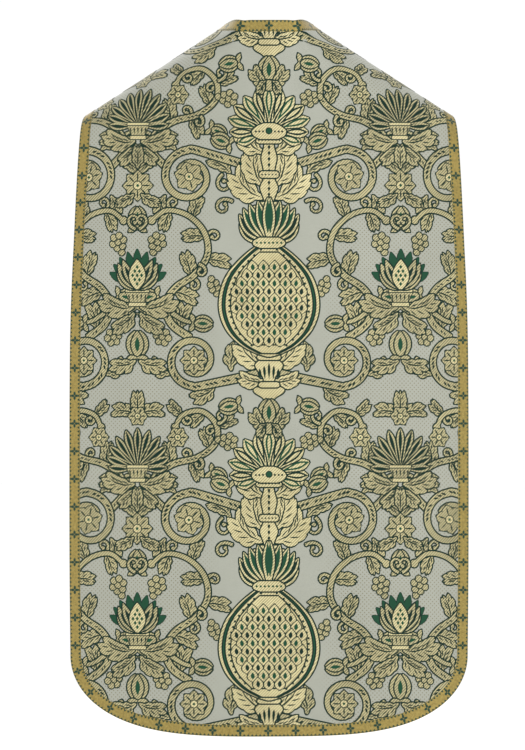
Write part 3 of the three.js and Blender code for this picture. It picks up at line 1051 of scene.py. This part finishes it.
def laid_on_back(flat):
    """Places (x, h) on the back for flat cloth (u, v): it hangs straight up to the arch's foot, then
    bends round a half ellipse whose axis falls with the shoulder, and hangs again on the front. A
    few steps find the ellipse's depth where a place comes to lie, and its turn round the ellipse,
    whose length grows with the turn less a share of the sine of twice the turn."""
    u, v = flat.T
    x = drawn_in(u)
    fall, rise = np.sin(SHOULDER_ANGLE), np.cos(SHOULDER_ANGLE)
    way = (v - arch_foot(x)) * rise
    height = ARCH_HEIGHT * rise
    moved, turn = x, np.zeros_like(x)
    for _ in range(LAYING_STEPS):
        depth = SHOULDER_DEPTH - SIDE_CURL * (moved / CURL_WIDTH) ** 3
        quarter = np.pi / 4 * (3 * (depth + height) - np.sqrt((3 * depth + height) * (depth + 3 * height)))
        uneven = (depth**2 - height**2) / (depth**2 + height**2) / 4
        turn = np.clip(np.clip(way / quarter, 0, 2) * np.pi / 2 + uneven * np.sin(2 * turn), 0, np.pi)
        past = np.clip(way - 2 * quarter, 0, None)
        moved = np.maximum(x - (np.clip(way, 0, None) + past - height * np.sin(turn)) * fall, 0)
    over = arch_foot(moved) + turn * ARCH_LENGTH / np.pi + past / rise
    return np.stack([moved * np.sign(u), np.where(way < 0, v, over)], axis=1)


def laid_on_front(flat):
    """Places (x, h) on the front for flat cloth (u, v), where v is the height."""
    u, v = flat.T
    return on_front(np.stack([drawn_in(u) * np.sign(u), v], axis=1))


def cut_out(flat, places, faces, weaves, outline):
    """The part of a net inside an outline. A triangle that crosses it is cut where the depth inside,
    taken as linear along its sides, is nought."""
    inside = inside_of(outline, places)
    count = inside[faces].sum(axis=1)
    crossing = faces[(count == 1) | (count == 2)]
    near = np.unique(crossing)
    depth = np.zeros(len(places))
    depth[near] = depth_inside(outline, places[near])
    data = np.hstack([flat, places])
    parts, labels = [faces[count == 3]], [weaves[count == 3]]
    for alone, many in ((True, 1), (False, 2)):
        chosen = count == many
        odd = np.argmax(inside[faces[chosen]] == alone, axis=1)
        a, b, c = (faces[chosen][np.arange(chosen.sum()), (odd + k) % 3] for k in range(3))
        ends = []
        for other in (b, c):
            pair = np.sort(np.stack([a, other], axis=1), axis=1)
            t = depth[pair[:, 0]] / (depth[pair[:, 0]] - depth[pair[:, 1]])
            ends.append(len(data) + np.arange(len(pair)))
            data = np.vstack([data, data[pair[:, 0]] + (data[pair[:, 1]] - data[pair[:, 0]]) * t[:, None]])
        ab, ac = ends
        if alone:
            parts.append(np.stack([a, ab, ac], axis=1))
            labels.append(weaves[chosen])
        else:
            parts += [np.stack([ab, b, c], axis=1), np.stack([ab, c, ac], axis=1)]
            labels += [weaves[chosen], weaves[chosen]]
    faces, weaves = np.vstack(parts), np.concatenate(labels)
    data, faces, weaves = without_doubles(data, data[:, 2:], CUT_STEPS, faces, weaves)
    return data[:, :2], data[:, 2:], faces, weaves


def bridging(places, faces):
    """How far each point has to rise so that the straight edges from it clear a cloth that bends
    outward: the farthest that the cloth stands out over the middle of one of them."""
    a, b = np.unique(np.sort(sides_of(faces), axis=1), axis=0).T
    points, _ = on_cloth(places, 0.0)
    middles, normals = on_cloth((places[a] + places[b]) / 2, 0.0)
    over = ((middles - (points[a] + points[b]) / 2) * normals).sum(axis=1)
    most = np.zeros(len(places))
    np.maximum.at(most, a, over)
    np.maximum.at(most, b, over)
    return np.minimum(most, MOST_BRIDGING)


def figure_net(half, outline, laid, rise):
    """The figure of a panel: its threads stand a little proud of the ground, least at their edges."""
    flat, faces, weaves = repeated(half, CLOTH_LOW, CLOTH_HIGH, rise)
    flat, places, faces, weaves = cut_out(flat, laid(flat), faces, weaves, outline)
    figured = weaves != GROUND
    raised = np.full(len(places), FIGURE_RISE)
    raised[faces[~figured]] = FIGURE_EDGE
    used, faces = np.unique(faces[figured], return_inverse=True)
    faces = faces.reshape(-1, 3)
    places = places[used]
    points, normals = on_cloth(places, raised[used] + bridging(places, faces))
    return points, facing_out(points, faces, normals), normals, flat[used], weaves[figured]


def wall_net(outline, laid):
    """A panel as a closed wall: its ground outside, its satin backing WALL behind, and the rim."""
    across, up = (np.arange(*ends, GROUND_SPACING) for ends in zip(CLOTH_LOW, CLOTH_HIGH))
    flat = np.stack(np.meshgrid(across, up), axis=-1).reshape(-1, 2)
    faces = grid_faces(len(up), len(across))
    flat, places, faces, _ = cut_out(flat, laid(flat), faces, np.zeros(len(faces), int), outline)
    points, normals = on_cloth(places, 0.0)
    faces = facing_out(points, faces, normals)
    outer = (points, faces, normals, flat, np.zeros(len(faces), int))
    points, walls, normals, used, rim_edges = rim_of(places, faces, -WALL, 0.0)
    walls = facing_out(points, walls, normals)
    rim = (points, walls, normals, np.tile(flat[used], (2, 1)), np.ones(len(walls), int))
    across, up = (np.arange(*ends) for ends in zip(outline.min(axis=0), outline.max(axis=0), BACKING_SPACING))
    grid = np.stack(np.meshgrid(across, up), axis=-1).reshape(-1, 2)
    grid = grid[depth_inside(outline, grid) > RIM_MARGIN]
    inner, faces = triangles_of(np.vstack([places[used], grid]), rim_edges)
    faces = faces[inside_of(outline, inner[faces].mean(axis=1))]
    points, normals = on_cloth(inner, -WALL)
    inner = (points, facing_out(points, faces, -normals), -normals, inner, np.ones(len(faces), int))
    return join([outer, rim, inner])


# Finishes. Flat places on each piece are millimetres: across and up the woven cloth, or along and
# across the galloon.


def set_inputs(tree, node, inputs):
    """Gives a node its inputs. Each is a value, or a node or socket that it links to."""
    for name, value in inputs.items():
        if isinstance(value, bpy.types.Node):
            value = value.outputs[0]
        if isinstance(value, bpy.types.NodeSocket):
            tree.links.new(value, node.inputs[name])
        else:
            node.inputs[name].default_value = value


def add_node(tree, kind, inputs, **settings):
    """Adds a node with its settings and inputs."""
    made = tree.nodes.new(kind)
    for name, value in settings.items():
        setattr(made, name, value)
    set_inputs(tree, made, inputs)
    return made


def new_finish(name, roughness, metallic=0.0, sheen=0.0, specular=0.5):
    """A material with its surface shader, the flat places of the piece, and the shader's node."""
    material = bpy.data.materials.new(name)
    material.use_nodes = True
    tree = material.node_tree
    surface = tree.nodes["Principled BSDF"]
    set_inputs(tree, surface, {
        "Roughness": roughness, "Metallic": metallic, "Sheen Weight": sheen, "Specular IOR Level": specular,
    })
    return material, tree, surface, add_node(tree, "ShaderNodeUVMap", {}, uv_map="flat_mm")


WAVE_PERIOD = 0.314159  # width of one band of a wave texture at scale 1
DIAGONAL_PERIOD = 0.444288
CLOUD = 0.3, 0.7  # the span that most values of a noise texture lie in
CLOUD_SCALE = 0.018
STREAK_SCALE = (0.06, 1.1, 1.0)
STREAK_SHARE = 0.12
SPREAD = "Value", "From Min", "From Max", "To Min", "To Max"


def woven_finish(name, light, dark, direction, thread, depth, contrast, patchy, waver=1.2, **shader):
    """Threads as bands of a light and a dark colour, uneven over a hand's width and along each thread.
    thread is the bands' spacing in mm, depth their relief in mm, waver how far they stray."""
    material, tree, surface, flat = new_finish(name, **shader)
    period = DIAGONAL_PERIOD if direction == "DIAGONAL" else WAVE_PERIOD
    bands = add_node(
        tree, "ShaderNodeTexWave",
        {"Vector": flat, "Scale": period / thread, "Distortion": waver, "Detail": 2.0, "Detail Scale": 0.8},
        bands_direction=direction,
    ).outputs["Fac"]
    cloud = add_node(tree, "ShaderNodeTexNoise", {"Vector": flat, "Scale": CLOUD_SCALE, "Detail": 3.0})
    streaks = add_node(tree, "ShaderNodeMapping", {"Vector": flat, "Scale": STREAK_SCALE})
    streaks = add_node(tree, "ShaderNodeTexNoise", {"Vector": streaks, "Scale": 1.0, "Detail": 2.0})
    share = add_node(tree, "ShaderNodeMath", {0: bands, 1: contrast}, operation="MULTIPLY")
    for noise, most, last in ((cloud, patchy, False), (streaks, STREAK_SHARE, True)):
        part = add_node(tree, "ShaderNodeMapRange", dict(zip(SPREAD, (noise, *CLOUD, -most, most))))
        share = add_node(tree, "ShaderNodeMath", {0: share, 1: part}, operation="ADD", use_clamp=last)
    colours = {"Factor": share, "A": linear(light), "B": linear(dark)}
    colour = add_node(tree, "ShaderNodeMix", colours, data_type="RGBA")
    relief = add_node(tree, "ShaderNodeBump", {"Height": bands, "Strength": 1.0, "Distance": depth * METRE})
    set_inputs(tree, surface, {"Base Color": colour.outputs["Result"], "Normal": relief})
    return material


def dotted_ground(name, dot_code, **woven):
    """The ground weave, with small dots of the figure's weft in a slanted lattice beside the side
    columns of the figure, and none round its middle column."""
    material = woven_finish(name, **woven)
    tree = material.node_tree
    flat = next(node for node in tree.nodes if node.type == "UVMAP")
    base = tree.nodes["Principled BSDF"].inputs["Base Color"]
    small = 1 / DOT_SPACING
    slanted = {"Vector": flat, "Rotation": (0, 0, np.radians(45)), "Scale": (small, small, 1)}
    cell = add_node(tree, "ShaderNodeMapping", slanted)
    cell = add_node(tree, "ShaderNodeVectorMath", {0: cell}, operation="FRACTION")
    cell = add_node(tree, "ShaderNodeVectorMath", {0: cell, 1: (0.5, 0.5, 0)}, operation="SUBTRACT")
    distance = add_node(tree, "ShaderNodeVectorMath", {0: cell}, operation="LENGTH").outputs["Value"]
    dots = add_node(tree, "ShaderNodeMapRange", dict(zip(SPREAD, (distance, 0.14, 0.22, 1.0, 0.0))))
    column = {"Vector": flat, "Scale": WAVE_PERIOD / REPEAT_WIDTH, "Distortion": 0.0, "Detail": 0.0}
    columns = add_node(tree, "ShaderNodeTexWave", column, bands_direction="X").outputs["Fac"]
    beside = add_node(tree, "ShaderNodeMapRange", dict(zip(SPREAD, (columns, 0.3, 0.6, 0.0, DOT_SHARE))))
    share = add_node(tree, "ShaderNodeMath", {0: dots, 1: beside}, operation="MULTIPLY")
    colours = {"Factor": share, "A": base.links[0].from_socket, "B": linear(dot_code)}
    colour = add_node(tree, "ShaderNodeMix", colours, data_type="RGBA")
    tree.links.new(colour.outputs["Result"], base)
    return material


def galloon_finish():
    """Woven metal galloon: gilt wefts in a herringbone, so it glints unevenly, with crosses and a row
    of small points along both edges in dull green silk. The gilt colour is mottled lighter and darker
    at random, partly its own uneven tone and partly painted uneven glint. The herringbone is drawn
    coarser than it is."""
    material, tree, surface, flat = new_finish("gilt_galloon", roughness=0.4, metallic=0.5, sheen=0.1)
    split = add_node(tree, "ShaderNodeSeparateXYZ", {"Vector": flat})
    known = {"along": split.outputs["X"], "across": split.outputs["Y"]}
    for name, operation, first, second in (
        ("off_middle", "SUBTRACT", "across", TRIM_WIDTH / 2),
        ("b", "ABSOLUTE", "off_middle", 0.0),
        ("cross_cell", "PINGPONG", "along", CROSS_SPACING / 2),
        ("slant", "ADD", "along", "b"),
        ("slant_turn", "MULTIPLY", "slant", 2 * np.pi / HERRINGBONE),
        ("herringbone", "SINE", "slant_turn", 0.0),
        ("longer", "MAXIMUM", "cross_cell", "b"),
        ("shorter", "MINIMUM", "cross_cell", "b"),
        ("from_petal", "SUBTRACT", "longer", PETAL_PLACE),
        ("along_petal", "DIVIDE", "from_petal", PETAL_HALF),
        ("along_square", "MULTIPLY", "along_petal", "along_petal"),
        ("across_petal", "DIVIDE", "shorter", PETAL_WIDTH),
        ("across_square", "MULTIPLY", "across_petal", "across_petal"),
        ("petal_edge", "ADD", "along_square", "across_square"),
        ("from_edge", "SUBTRACT", TRIM_WIDTH / 2, "b"),
        ("point_cell", "PINGPONG", "along", POINT_SPACING / 2),
        ("point_part", "MULTIPLY", "from_edge", POINT_SLOPE),
        ("point_edge", "ADD", "point_part", "point_cell"),
        ("clear", "GREATER_THAN", "from_edge", POINT_MARGIN),
    ):
        inputs = {k: known.get(value, value) for k, value in enumerate((first, second))}
        known[name] = add_node(tree, "ShaderNodeMath", inputs, operation=operation)
    cross, points = (
        add_node(tree, "ShaderNodeMapRange", dict(zip(SPREAD, (known[edge], low, high, 1.0, 0.0))))
        for edge, low, high in (("petal_edge", 0.8, 1.2), ("point_edge", 2.9, 3.3))
    )
    points = add_node(tree, "ShaderNodeMath", {0: points, 1: known["clear"]}, operation="MULTIPLY")
    green = add_node(tree, "ShaderNodeMath", {0: cross, 1: points}, operation="MAXIMUM")
    # Random cloud that mottles the gilt colour: partly uneven tone, partly painted uneven glint.
    cloud = add_node(tree, "ShaderNodeTexNoise", {"Vector": flat, "Scale": 0.25, "Detail": 3.0})
    cloud = add_node(tree, "ShaderNodeMapRange", dict(zip(SPREAD, (cloud, *CLOUD, 0.36, 0.74))))
    weave = dict(zip(SPREAD, (known["herringbone"], -1.0, 1.0, -STREAK_SHARE, STREAK_SHARE)))
    weave = add_node(tree, "ShaderNodeMapRange", weave)
    uneven = add_node(tree, "ShaderNodeMath", {0: cloud, 1: weave}, operation="ADD", use_clamp=True)
    colours = {"Factor": uneven, "A": linear("#5C4E1C"), "B": linear("#B39E56")}
    gilt = add_node(tree, "ShaderNodeMix", colours, data_type="RGBA").outputs["Result"]
    colours = {"Factor": green, "A": gilt, "B": linear("#143A2B")}
    colour = add_node(tree, "ShaderNodeMix", colours, data_type="RGBA").outputs["Result"]
    height = add_node(tree, "ShaderNodeMath", {0: uneven, 1: green}, operation="SUBTRACT")
    bump = {"Height": height, "Strength": 1.0, "Distance": GALLOON_RELIEF * METRE}
    relief = add_node(tree, "ShaderNodeBump", bump)
    set_inputs(tree, surface, {"Base Color": colour, "Normal": relief})
    return material


# Silk satin ground of a brocade: long floats lie side by side, so it has a broad soft gloss. The
# threads are drawn 0.9 mm apart, coarser than they are.
ground = dotted_ground(
    "silver_satin", "#6F6547", light="#A1A396", dark="#8F9183", direction="Y", thread=0.9, depth=0.03,
    contrast=0.25, patchy=0.14, roughness=0.48, sheen=0.12,
)
# Silk weft bound in plain weave, dull beside the satin: the dark outlines and the solid green.
outline_green = woven_finish(
    "green_outline", light="#0F2C22", dark="#0A1F17", direction="X", thread=1.0, depth=0.04,
    contrast=0.5, patchy=0.1, roughness=0.7, specular=0.2,
)
solid_green = woven_finish(
    "green_silk", light="#134A30", dark="#0C3320", direction="DIAGONAL", thread=1.4, depth=0.04,
    contrast=0.6, patchy=0.1, roughness=0.65, specular=0.25,
)
# Gilt weft bound in a steep twill, which shows as slanting lines. They are drawn 3.3 mm apart,
# coarser than they are. The metal strip wound on silk gives a soft glint.
gold = woven_finish(
    "gold_twill", light="#C4BA89", dark="#4E4E34", direction="DIAGONAL", thread=3.3, depth=0.09,
    contrast=0.95, patchy=0.14, waver=0.15, roughness=0.45, metallic=0.15, sheen=0.1,
)
# The lighter gilt twill: an accent colour of the motifs, and over the main axis's motifs a painted sheen, so
# the middle column is lighter than the gold beside it.
pale_gilt_and_sheen = woven_finish(
    "pale_gilt_twill_and_painted_sheen", light="#DAD09E", dark="#7A6F45", direction="DIAGONAL", thread=3.3, depth=0.09,
    contrast=0.8, patchy=0.14, waver=0.15, roughness=0.42, metallic=0.15, sheen=0.1,
)
# Cotton-backed satin of the inner face: fine, plain and a little duller than the ground.
backing = woven_finish(
    "backing_satin", light="#C9C2A8", dark="#B2AA8E", direction="Y", thread=1.1, depth=0.03,
    contrast=0.3, patchy=0.1, roughness=0.5, sheen=0.12,
)
FIGURE_FINISHES = [ground, outline_green, gold, solid_green, pale_gilt_and_sheen]


# Pieces


def add_piece(name, net, materials, solid):
    """A piece from a net: it rides on the garment and stands for its solid."""
    made = add_mesh(name, net, materials)
    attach(made, "root")
    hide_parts(solid)
    return made


back_edge, back_neck = back_outline()
front_edge, front_neck = front_outline()
half = half_repeat(draw_half_repeat())
for name, edge, neck, laid, rise, cut, cut_area in (
    ("back", back_edge, back_neck, laid_on_back, BACK_RISE, BACK_CUT, BACK_CUT_AREA),
    ("front", front_edge, front_neck, laid_on_front, FRONT_RISE, FRONT_CUT, FRONT_CUT_AREA),
):
    outline, solid = panel_outline(edge, neck), f"{name}_panel"
    panel = add_piece(f"{name}_brocade", wall_net(outline, laid), [ground, backing], solid)
    figure = figure_net(half, outline, laid, rise)
    figure = add_piece(f"{name}_figure", figure, FIGURE_FINISHES, solid)

gilt_galloon = galloon_finish()
for name, edge, side, past in (("back", back_edge, -1, 0.0), ("front", front_edge, 1, SEAM_GAP)):
    inner = meet_seam(inset(edge, side, TRIM_WIDTH), seam_place(edge[-1, 0] - TRIM_WIDTH, past))
    inner[0, 0] = 0
    path = both_halves(edge)
    length = way_along(path)
    net = galloon_net(path, both_halves(inner), length / 2, False)
    band = add_piece(f"{name}_edge_band", net, [gilt_galloon], f"{name}_edge_galloon")

back_neck, front_neck = both_halves(back_neck), both_halves(front_neck)
neck_edge = even_steps(np.vstack([back_neck, front_neck[::-1], back_neck[:1]]), NECK_RING_POINTS)
outer = inset(neck_edge, 1, TRIM_WIDTH)
outer[[0, -1]] = outer[[0, -1]].mean(axis=0)
net = galloon_net(neck_edge, outer, way_along(back_neck) / 2, True)
band = add_piece("neck_band", net, [gilt_galloon], "neck_galloon")


# Studio


def add_light(name, place, size, power):
    """A square white area light at a place, turned towards the middle of the garment."""
    light = bpy.data.lights.new(name, "AREA")
    light.energy = power
    light.size = size
    made = bpy.data.objects.new(name, light)
    made.location = place
    made.rotation_euler = (Vector(MIDDLE) - Vector(place)).to_track_quat("-Z", "Y").to_euler()
    bpy.context.scene.collection.objects.link(made)


MIDDLE = (0, 0, -0.55)
FLOOR_HEIGHT = -1.22
FLOOR_REACH = 40
pale, tree, surface, _ = new_finish("pale_floor", roughness=0.9, specular=0.1)
set_inputs(tree, surface, {"Base Color": linear("#FFFFFF")})
floor_mesh = bpy.data.meshes.new("floor")
corners = [(x * FLOOR_REACH, y * FLOOR_REACH, FLOOR_HEIGHT) for x, y in ((-1, -1), (1, -1), (1, 1), (-1, 1))]
floor_mesh.from_pydata(corners, [], [(0, 1, 2, 3)])
floor_mesh.materials.append(pale)
floor = bpy.data.objects.new("floor", floor_mesh)
bpy.context.scene.collection.objects.link(floor)

add_light("key", (-1.8, 3.6, 0.4), 2.2, 32)
add_light("fill", (2.6, 2.8, -0.4), 3.0, 10)
add_light("behind", (0.8, -3.4, 1.4), 3.0, 24)
world = bpy.data.worlds.new("studio")
bpy.context.scene.world = world
world.use_nodes = True
set_inputs(world.node_tree, world.node_tree.nodes["Background"], {"Color": (1, 1, 1, 1), "Strength": 1.02})

# The photo shows the shoulders' ridge hardly lower than the nape, so it was taken from afar.
CAMERA_DISTANCE = 14.0
PICTURE_HEIGHT = 1.2
lens = bpy.data.cameras.new("camera")
lens.lens = lens.sensor_width * CAMERA_DISTANCE / PICTURE_HEIGHT
camera = bpy.data.objects.new("camera", lens)
camera.location = (0.0104, CAMERA_DISTANCE + 0.1, -0.5503)
camera.rotation_euler = (np.radians(90), 0, np.radians(180))
bpy.context.scene.collection.objects.link(camera)
bpy.context.scene.camera = camera
bpy.context.scene.view_settings.view_transform = "Standard"
